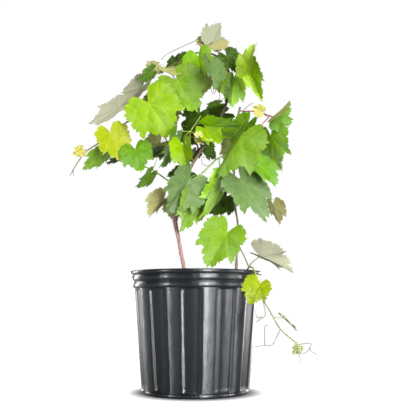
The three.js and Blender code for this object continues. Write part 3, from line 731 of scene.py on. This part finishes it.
def stalk(stem, leaf):
    """The leaf stalk, from the nearest good place on the stem to the blade's heart."""
    at, along, face, size = leaf["at"], leaf["along"], leaf["face"], leaf["size"]
    behind = at - 0.45 * size * along - 0.15 * size * face
    places = [stem.at(0.06 + 0.93 * i / 60) for i in range(61)]
    root = min(places, key=lambda p: np.linalg.norm(p - behind))
    thick = min(max(0.015 * size, 0.45), 1.15)
    middle = root + 0.55 * (at - root) - 0.1 * size * face - 0.08 * size * along
    under = at - 0.9 * thick * face
    return Line([root, middle, under, at + 0.05 * size * along - 0.3 * face],
                [1.25 * thick, thick, 0.95 * thick, 0.8 * thick, 0.45 * thick], 40)


def shoot(node, start, path, radii, leaves, tendrils=(), skin="green", stalks="green", slot="leaf"):
    """Grows a shoot and makes its two pieces: the leaves, and the stem, stalks and tendrils."""
    stem = Line(list(start) + list(path), radii)
    used = sorted({leaf["tint"] for leaf in leaves})
    blades = []
    for number, leaf in enumerate(leaves):
        points, faces, kinds, vein_map = leaf_arrays(leaf, 17 * number + 3 * len(node))
        first = 3 * used.index(leaf["tint"])
        blades.append((points, faces, [first + kind for kind in kinds], vein_map))
    tones = [tone for tint in used for tone in skins[tint]]
    foliage_piece(node.replace("leaves", "blades"), blades, tones, node)

    lines = [(stem, STEM_SIDES, max(24, int(stem.walked[-1] / 4)), 0)]
    lines += [(stalk(stem, leaf), STALK_SIDES, 14, 1) for leaf in leaves]
    lines += [(Line(way, TENDRIL_RADII, 60), STALK_SIDES, 40, 2) for way in tendrils]
    foliage_piece(node.replace("leaves", "stems"), round_parts(lines),
                  [stem_skins[skin], stem_skins[stalks], stem_skins["grey"]], node)
    return stem


def front_shoot(node, start, path, radii, leaves, *rest, **more):
    """A shoot whose leaves are placed one by one, as they hang."""
    placed = [leaf_at(*leaf) for leaf in leaves]
    front_leaves.extend(placed)
    return shoot(node, start, path, radii, placed, *rest, **more)


# Left shoots. The lower one leaves the head of the main cane and runs out level; the upper one
# leaves the rising cane, passes behind the foliage and droops to a forked tip.
front_shoot(
    "leaves_left_lower", canes["main_cane"].branch_off(0.97, (-60, -8, 380)),
    [(-52, -6, 400), (-54, -4, 424), (-69, -4, 437), (-88, -4, 450), (-113, -4, 461),
     (-159, -6, 471), (-178, -8, 487)], [1.9, 1.6, 1.2],
    [((-124, -35, 487), -75, -10, 0, 50, 10, "mid"),
     ((-193, -5, 492), -136, 0, 78, 60, 3, "bright"),
     ((-168, 10, 483), -145, 0, 85, 28, 10, "deep"),
     ((-75, 12, 499), -158, 18, 75, 38, 10, "deep"),
     ((-95, -18, 441), -130, 2, 76, 42, 8, "mid"),
     ((-67, -28, 385), -135, 0, -120, 47, 25, "olive")],
    [[(-159, -8, 471), (-174, -9, 477), (-186, -9, 473), (-184, -10, 462), (-176, -10, 466)]])
front_shoot(
    "leaves_left_upper", canes["rising_cane"].branch_off(0.72, (-2, 24, 555)),
    [(-14, 22, 572), (-53, 22, 612), (-89, 14, 614), (-120, 4, 589), (-139, -2, 563),
     (-156, -8, 546), (-207, -14, 505), (-229, -16, 489), (-245, -18, 466), (-256, -18, 447)],
    [2.3, 2, 1.7, 1.4, 1],
    [((-94, -62, 577), -54, 10, -5, 82, 6, "fresh"),
     ((-174, -45, 519), -70, 12, 30, 58, 12, "lime"),
     ((-163, -30, 579), -150, 14, 130, 70, -5, "felt"),
     ((-237, -28, 489), -147, -4, 50, 21, 10, "young")],
    [[(-254, -18, 451), (-258, -19, 442), (-261, -20, 436)],
     [(-254, -18, 451), (-255, -16, 444), (-253, -14, 438)],
     [(-148, -6, 556), (-150, -12, 546), (-153, -14, 540)]],
    skin="brown", stalks="brown")


# Middle of the plant. The low leaves hang from a green stem that comes over from the right cane,
# and the short shoot at the plant's heart carries young leaves and a cluster of pale flower buds.
front_shoot(
    "leaves_low_centre", canes["right_cane"].branch_off(0.7, (66, -10, 484)),
    [(60, -16, 480), (41, -24, 469), (26, -28, 453), (10, -30, 438), (-6, -30, 428)], [1.8, 1.3],
    [((-15, -72, 414), -123, 0, 35, 76, 27, "blue"),
     ((-22, -40, 436), -140, 29, 36, 44, 10, "deep"),
     ((57, -34, 416), -120, 3, 72, 84, -6, "bright"),
     ((-9, -42, 383), -106, 2, 57, 69, 15, "soft"),
     ((62, 12, 396), -129, 24, 42, 54, 10, "deep")],
    [[(37, -22, 463), (23, -22, 457), (13, -22, 463), (13, -22, 474), (21, -22, 476)]])
front_shoot(
    "leaves_heart", canes["rising_cane"].branch_off(0.52, (-14, -14, 500)),
    [(-12, -16, 506), (-12, -20, 528), (0, -18, 550), (10, -14, 566)], [2, 1.6, 1.2],
    [((6, -12, 572), -128, 29, -15, 49, 10, "deep"),
     ((21, -48, 529), -40, 5, 10, 44, 20, "fresh"),
     ((-25, -60, 488), -80, 0, -12, 56, 54, "fresh"),
     ((-43, -46, 508), -110, 6, 80, 68, 4, "mid"),
     ((6, -34, 512), -60, 0, 0, 14, 10, "young"),
     ((32, -48, 533), -4, 0, -75, 66, 5, "bright")])

# The flower cluster in the heart: pale beads, some 3 mm across, on thin stalks that fork. The
# first ones crowd round the middle, and the rest sit by turns on its two side stalks.
BUDS, CROWDED_BUDS = 34, 24
BUNCH_REACH = 9.0
BUNCH_MIDDLE, LEFT_STALK, RIGHT_STALK = vec((5, -75, 509)), vec((-25, 4, -4)), vec((20, -2, -11))
cluster = [(Line(way, [0.8, 0.6, 0.4], 30), STALK_SIDES, 16, 0)
           for way in ([(-12, -20, 528), (-12, -60, 521), (5, -74, 509)],
                       [(-12, -60, 521), (-20, -70, 507), (-20, -72, 488)],
                       [(5, -74, 509), (19, -76, 502), (31, -76, 495)])]
for bud in range(BUDS):
    seed = 900 + 5 * bud
    turn, reach = 2 * math.pi * chance(seed), BUNCH_REACH * math.sqrt(chance(seed + 1))
    flatness = 0.8 if bud < CROWDED_BUDS else 0.3
    middle = BUNCH_MIDDLE + vec((reach * math.cos(turn), 5 * chance(seed + 2) - 3,
                                 flatness * reach * math.sin(turn)))
    if bud >= CROWDED_BUDS:
        middle += RIGHT_STALK if bud % 2 else LEFT_STALK
    tip = vec((1.2 * math.cos(turn), -0.6, 1.6 * math.sin(turn)))
    bead = Line([middle - tip, middle, middle + tip], [0.4, 1.7, 0.4], 6)
    cluster.append((bead, STALK_SIDES, 4, 1))
pale_bud = leaf_skin("pale_flower_bud", "#d6d29a", "#c2bf7e", "#d6d29a", 0.5, SMOOTH)
foliage_piece("flower_buds", round_parts(cluster), [stem_skins["yellow"], pale_bud],
              "leaves_heart")


# Crown. The arching cane's tip runs on to the left as a leafy shoot, and a short yellowish one on
# top of the arch carries the highest leaf and a long thin tendril.
front_shoot(
    "leaves_crown_left", canes["arching_cane"].run_on(),
    [(-18, -8, 700), (-39, -6, 687), (-67, -2, 675), (-85, 2, 668), (-100, 6, 656)],
    [1.7, 1.4, 1.1],
    [((-38, -44, 630), -57, -4, 3, 78, 8, "soft"),
     ((-119, 14, 638), -134, 4, -98, 69, 12, "felt"),
     ((-94, -35, 655), -141, -10, 76, 35, 5, "mid"),
     ((-83, -10, 679), -156, -33, 163, 32, 20, "olive"),
     ((-37, 12, 681), 71, 10, 43, 50, 25, "deep"),
     ((-43, -30, 666), -164, -18, 129, 42, 15, "deep")],
    skin="brown")
front_shoot(
    "leaves_crown_top", canes["arching_cane"].branch_off(0.9, (16, -14, 730)),
    [(8, -12, 722), (-2, -14, 733)], [1.7, 1.1],
    [((5, -44, 682), -82, 0, -34, 56, 15, "bright"),
     ((29, -75, 655), -77, 0, 54, 55, 20, "blue"),
     ((35, -20, 729), 72, 8, 142, 45, 13, "silver"),
     ((36, -8, 735), -100, -38, 180, 50, 5, "olive")],
    [[(-1, -14, 732), (-35, -14, 716), (-65, -14, 700), (-75, -14, 689)],
     [(-1, -14, 732), (5, -16, 738), (11, -16, 740)]],
    skin="yellow", stalks="red")


# Right side. One shoot leaves the arch, the right cane's reddish tip carries the biggest leaf, and
# a third shoot lower down carries the broad leaves over the pot.
front_shoot(
    "leaves_right_upper", canes["arching_cane"].branch_off(0.38, (86, -6, 664)),
    [(90, -8, 668), (106, -14, 668)], [1.8, 1.3],
    [((65, -30, 690), -52, 10, 28, 44, 10, "deep"),
     ((107, -95, 642), 80, -3, 62, 56, 23, "grass"),
     ((111, -30, 659), -68, -3, -8, 74, 66, "grass"),
     ((80, -25, 641), -96, 0, -8, 60, -56, "bright"),
     ((62, -14, 646), -99, 0, -52, 34, 15, "bright")],
    [[(66, -4, 648), (52, -16, 634), (44, -20, 623), (36, -20, 612), (31, -20, 625),
      (27, -20, 638)],
     [(52, -16, 634), (50, -20, 614), (48, -20, 592)]])
front_shoot(
    "leaves_right", canes["right_cane"].branch_off(0.98, (140, -10, 582)),
    [(118, -8, 578), (140, -10, 572), (160, -14, 565)], [1.4, 1],
    [((90, -104, 499), -122, 5, -56, 95, -19, "soft"),
     ((106, -35, 543), -130, 12, -52, 58, 15, "mid"),
     ((161, -14, 564), 38, 5, -60, 54, 55, "mid"),
     ((160, 14, 526), -80, 5, -64, 76, -6, "bright"),
     ((135, -38, 569), 156, -5, 43, 21, 10, "young")],
    [[(99, -5, 579), (110, -6, 590), (121, -8, 596)]],
    skin="red", stalks="red")
front_shoot(
    "leaves_right_lower", canes["right_cane"].branch_off(0.56, (110, -20, 436)),
    [(100, -16, 438), (122, -14, 446), (146, -6, 424), (158, 4, 398)], [1.7, 1.2],
    [((95, -48, 417), -55, -1, 47, 94, 5, "blue"),
     ((132, -25, 456), -46, 1, 42, 55, 15, "mid"),
     ((163, 10, 380), -70, 22, 118, 44, 15, "olive")])


# Hanging shoot. It leaves the right cane's foot, climbs over the rim and trails down outside the
# pot, with a few small leaves and forked tendrils that have found nothing to hold. It is made as
# two, parted at the rim, where it bends.
over_pot = front_shoot(
    "leaves_over_pot", canes["right_cane"].branch_off(0.03, (92, -20, 228)),
    [(96, -36, 232), (106, -70, 246), (110, -84, 244)], [1.8, 1.5],
    [((61, -60, 311), -121, -1, -30, 77, 15, "soft"),
     ((130, -62, 268), -24, -8, 110, 70, 22, "felt")],
    skin="dull", stalks="dull")
front_shoot(
    "leaves_hanging", over_pot.run_on(),
    [(118, -95, 226), (128, -88, 188), (145, -86, 157), (163, -84, 127), (183, -80, 109),
     (199, -78, 97)], [1.5, 1.2, 1],
    [((121, -102, 210), -117, 0, -20, 42, 15, "spring"),
     ((169, -80, 148), -39, -6, 84, 36, 10, "felt"),
     ((197, -78, 93), -126, 2, 29, 18, 10, "felt")],
    [[(163, -84, 127), (146, -82, 97), (133, -82, 96), (113, -86, 94)],
     [(133, -82, 96), (133, -82, 120), (135, -82, 135), (140, -82, 133)],
     [(129, -88, 185), (134, -86, 153), (126, -86, 146), (116, -88, 140)],
     [(197, -78, 98), (222, -76, 99), (219, -76, 89), (233, -76, 78)],
     [(222, -76, 90), (219, -76, 89), (210, -78, 82), (202, -80, 80)],
     [(195, -79, 97), (196, -79, 84), (200, -79, 73), (200, -79, 62)],
     [(128, -86, 150), (120, -86, 148), (117, -86, 154)]],
    skin="dull", stalks="dull")


# Back shoots. Older leaves, darkened with painted shade, in turn to either side of stems behind
# the canes, by a seeded rule that keeps each shoot in its own space and out of the gaps that show
# the sky from the front.

UP = vec((0, 0, 1))
VIEWPOINT = vec((25, -1380, 171))  # the camera's place
TRIES = 240  # per shoot
SMALLEST_LEAF, LARGEST_LEAF = 38.0, 62.0
LEAF_DISTANCE = 0.55  # between the leaves of one shoot, in midrib lengths
# Lobe tips and foot of a blade: degrees from the midrib, and reach
BLADE_SAMPLES = ((0, 1), (45, 0.88), (-45, 0.88), (92, 0.64), (-92, 0.64), (180, 0.1))
SCREEN_REACH = 0.62  # a front leaf hides what is this near to its middle, in midrib lengths
SCREEN_FACING = 0.45  # and only if it faces the front at least this squarely


def seen_at(p):
    """Where the eye at the front sees a place, on the upright plane through the pot's middle."""
    share = -VIEWPOINT[1] / (p[1] - VIEWPOINT[1])
    return (VIEWPOINT + (p - VIEWPOINT) * share)[[0, 2]]


def samples(leaf):
    """The leaf's lobe tips and foot."""
    side = np.cross(leaf["face"], leaf["along"])
    fold = math.radians(leaf["fold"])
    for degrees, reach in BLADE_SAMPLES:
        u, v = reach * math.cos(math.radians(degrees)), reach * math.sin(math.radians(degrees))
        lift = abs(v) * math.sin(fold) - LEAF_CURL * reach ** 2
        out = u * leaf["along"] + v * math.cos(fold) * side + lift * leaf["face"]
        yield leaf["at"] + leaf["size"] * out


def screened(p):
    """Whether a front leaf hides the place from the eye at the front."""
    seen = seen_at(p)
    for front in front_leaves:
        sight = unit(front["at"] - VIEWPOINT)
        if abs(front["face"].dot(sight)) < SCREEN_FACING:
            continue
        centre = front["at"] + 0.3 * front["size"] * front["along"]
        if np.linalg.norm(seen_at(centre) - seen) < SCREEN_REACH * front["size"]:
            return True
    return False


def ruled_leaf(stem, share, hand, seed, size):
    """A leaf that hangs outwards and to one hand of the stem, at a share of its length."""
    p = stem.at(share)
    out = unit(vec((0.5 * (chance(seed) - 0.5), 1, 0)))
    sideways = vec((hand, 0, 0))
    reach = size * (0.5 + 0.5 * chance(seed + 0.3))
    raised = reach * (0.6 * chance(seed + 0.6) - 0.1)
    at = p + 0.55 * reach * out + 0.6 * reach * sideways + raised * UP
    face = unit(0.85 * out + (0.5 + 0.3 * chance(seed + 0.9)) * UP + 0.3 * sideways)
    along = -0.75 * UP + 0.6 * chance(seed + 1.2) * sideways
    along = unit(along - along.dot(face) * face)
    # Half of these leaves take the darkest tint, as painted shade
    return {"at": at, "along": along, "face": face, "size": size, "fold": 10,
            "tint": "deep" if chance(seed + 2) < 0.5 else "mid"}


def back_shoot(node, start, path, radii, low, high, count, seed, placed=()):
    """A shoot whose leaves grow by rule inside the box from low to high, besides placed ones."""
    stem = Line(list(start) + list(path), radii)
    grown = []
    for k in range(TRIES):
        if len(grown) == count:
            break
        share = 0.25 + 0.75 * chance(seed + k)
        size = SMALLEST_LEAF + (LARGEST_LEAF - SMALLEST_LEAF) * chance(seed + 0.5 * k)
        leaf = ruled_leaf(stem, share, 1 if k % 2 else -1, seed + 7 * k, size)
        inside = all(np.all(p >= low) and np.all(p <= high) and screened(p) for p in samples(leaf))
        clearance = LEAF_DISTANCE * size
        apart = all(np.linalg.norm(other["at"] - leaf["at"]) > clearance for other in grown)
        if inside and apart:
            grown.append(leaf)
    fixed = [leaf_at(*leaf) for leaf in placed]
    shoot(node, start, path, radii, fixed + grown, skin="brown", slot="old_leaf")


back_shoot(
    "leaves_back_left", canes["rising_cane"].branch_off(0.42, (-30, 20, 450)),
    [(-34, 30, 470), (-62, 48, 520), (-78, 52, 570), (-70, 50, 620)], [2, 1.6, 1.2],
    (-140, 34, 440), (-18, 130, 680), 8, 3)
back_shoot(
    "leaves_back_middle", canes["rising_cane"].branch_off(0.62, (4, 24, 500)),
    [(2, 26, 512), (-6, 34, 530), (-2, 44, 556), (6, 46, 580)], [1.9, 1.3],
    (-16, 34, 440), (38, 130, 640), 4, 11,
    [((-26, 18, 540), -35, 34, 25, 43, 10, "deep"),
     ((-1, 22, 498), -116, 35, 60, 31, 10, "deep"),
     ((19, 28, 511), -43, 33, 42, 41, 10, "deep")])
back_shoot(
    "leaves_back_crown", canes["arching_cane"].branch_off(0.2, (64, 26, 616)),
    [(62, 28, 622), (50, 46, 646), (30, 54, 668), (4, 56, 680)], [1.9, 1.5, 1.2],
    (-40, 30, 600), (84, 130, 735), 7, 19,
    [((49, 34, 606), -161, 24, 76, 36, 5, "mid"),
     ((58, 50, 590), -169, 21, 74, 54, 5, "deep")])
back_shoot(
    "leaves_back_right", canes["right_cane"].branch_off(0.66, (84, 22, 470)),
    [(86, 26, 474), (98, 44, 500), (104, 52, 530), (98, 58, 560)], [1.9, 1.5, 1.2],
    (46, 34, 400), (180, 130, 610), 8, 31,
    [((90, 69, 569), 174, -5, 91, 81, 10, "bright")])
back_shoot(
    "leaves_back_low", canes["main_cane"].branch_off(0.9, (-34, 20, 372)),
    [(-32, 24, 376), (-14, 44, 390), (14, 54, 404), (44, 56, 412)], [1.9, 1.5, 1.2],
    (-80, 30, 320), (74, 130, 450), 7, 43)


# Studio. A white floor and a white surround, with a large soft light at the front right, a weaker
# one above and a tall strip behind to either side. Low narrow strips all round draw the streaks
# down the pot's ribs.

FLOOR_SIZE = 12.0
# Inside this ring the floor's glow fades out, painting a soft shadow round the pot's foot
SHADOW_START, SHADOW_END = 0.104, 0.148  # m from the pot's middle: the soft dark ring at its foot
bpy.ops.object.select_all(action="DESELECT")
bpy.ops.mesh.primitive_plane_add(size=FLOOR_SIZE, location=(0, 0, -0.5 * MM))
floor = bpy.context.object
floor.name = "studio_floor"
white_floor, tree, place = new_material("white_studio_floor")
from_pot = add(tree, "VectorMath", {"Vector": place}, operation="LENGTH")
# Seen from the camera the floor glows white, and the glow fades out towards the pot: the dark ring
# at its foot is painted shadow, over the floor's own shading
glow_with_painted_shadow = add(tree, "MapRange",
                     {"Value": from_pot.outputs["Value"], "From Min": SHADOW_START,
                      "From Max": SHADOW_END, "To Max": 0.95}, interpolation_type="SMOOTHSTEP")
far_glow = add(tree, "MapRange",
               {"Value": from_pot.outputs["Value"], "From Min": 0.3, "From Max": 1.4,
                "To Max": 1.1})
looked_at = add(tree, "LightPath", {})
seen_white = add(tree, "Mix",
                 {"Factor": looked_at.outputs["Is Camera Ray"], "A": far_glow, "B": glow_with_painted_shadow},
                 data_type="FLOAT")
matt = add(tree, "BsdfPrincipled",
           {"Base Color": paint("#707070"), "Roughness": 0.8, "IOR": 1.3,
            "Emission Color": (1, 1, 1, 1), "Emission Strength": seen_white.outputs["Result"]})
add(tree, "OutputMaterial", {"Surface": matt})
floor.data.materials.append(white_floor)


def soft_light(name, place, aim, width, height, watts, spread=180):
    """A flat lamp at a place, turned to an aim; spread is the angle of its beam in degrees."""
    lamp = bpy.data.lights.new(name, "AREA")
    lamp.shape = "RECTANGLE"
    lamp.size, lamp.size_y, lamp.energy = width, height, watts
    lamp.spread = math.radians(spread)
    stand = bpy.data.objects.new(name, lamp)
    bpy.context.scene.collection.objects.link(stand)
    stand.location = place
    from_aim = np.array(place) - np.array(aim)
    stand.rotation_euler = (math.atan2(math.hypot(from_aim[0], from_aim[1]), from_aim[2]), 0,
                            math.atan2(from_aim[0], -from_aim[1]))


soft_light("key_softbox", (0.75, -1.65, 0.85), (0, 0, 0.4), 0.8, 1.6, 60)
soft_light("top_softbox", (0.3, -0.6, 2.2), (0, 0, 0.4), 1.2, 1.2, 16)
soft_light("right_edge_strip", (1.1, 0.7, 0.5), (0, 0, 0.15), 0.3, 1.0, 6)
soft_light("left_edge_strip", (-1.1, 0.7, 0.5), (0, 0, 0.15), 0.3, 1.0, 11)

STRIP_DISTANCE, STRIP_HEIGHT, STRIP_LENGTH, STRIP_SPREAD = 1.5, 0.22, 0.5, 45
for name, azimuth, width, watts in (
        ("strip_left_thin", -51, 0.12, 0.9), ("strip_left_wide", -34, 0.4, 0.1),
        ("strip_front", 18, 0.24, 1.8), ("strip_right_wide", 64, 0.3, 0.6),
        ("strip_right_thin", 80, 0.12, 0.7), ("strip_right_rear", 146, 0.2, 0.5),
        ("strip_left_rear", -157, 0.2, 0.5)):
    turn = math.radians(azimuth)
    stands_at = (STRIP_DISTANCE * math.sin(turn), -STRIP_DISTANCE * math.cos(turn), STRIP_HEIGHT)
    soft_light(name, stands_at, (0, 0, 0.1), width, STRIP_LENGTH, watts, STRIP_SPREAD)

# The surround is white to look at, and lights and mirrors less, so that black plastic stays black
SURROUND_LIGHT, SURROUND_MIRRORED = 0.4, 0.12
surround = bpy.data.worlds.new("white_surround")
surround.use_nodes = True
tree = surround.node_tree
tree.nodes.clear()
looked_at = add(tree, "LightPath", {})
mirrored = add(tree, "MapRange",
               {"Value": looked_at.outputs["Is Glossy Ray"], "To Min": SURROUND_LIGHT,
                "To Max": SURROUND_MIRRORED})
level = add(tree, "MapRange", {"Value": looked_at.outputs["Is Camera Ray"], "To Min": mirrored})
glow = add(tree, "Background", {"Color": (1, 1, 1, 1), "Strength": level})
add(tree, "OutputWorld", {"Surface": glow})
bpy.context.scene.world = surround
bpy.context.scene.view_settings.view_transform = "Standard"

CAMERA_PITCH = 8.3  # degrees upwards
IMAGE_SIDE = 416
FOCAL_PIXELS = 669.9
lens = bpy.data.cameras.new("camera")
lens.sensor_width = 36
lens.lens = FOCAL_PIXELS / IMAGE_SIDE * lens.sensor_width
camera = bpy.data.objects.new("camera", lens)
camera.location = tuple(VIEWPOINT * MM)
camera.rotation_euler = (math.radians(90 + CAMERA_PITCH), 0, 0)
bpy.context.scene.collection.objects.link(camera)
bpy.context.scene.camera = camera
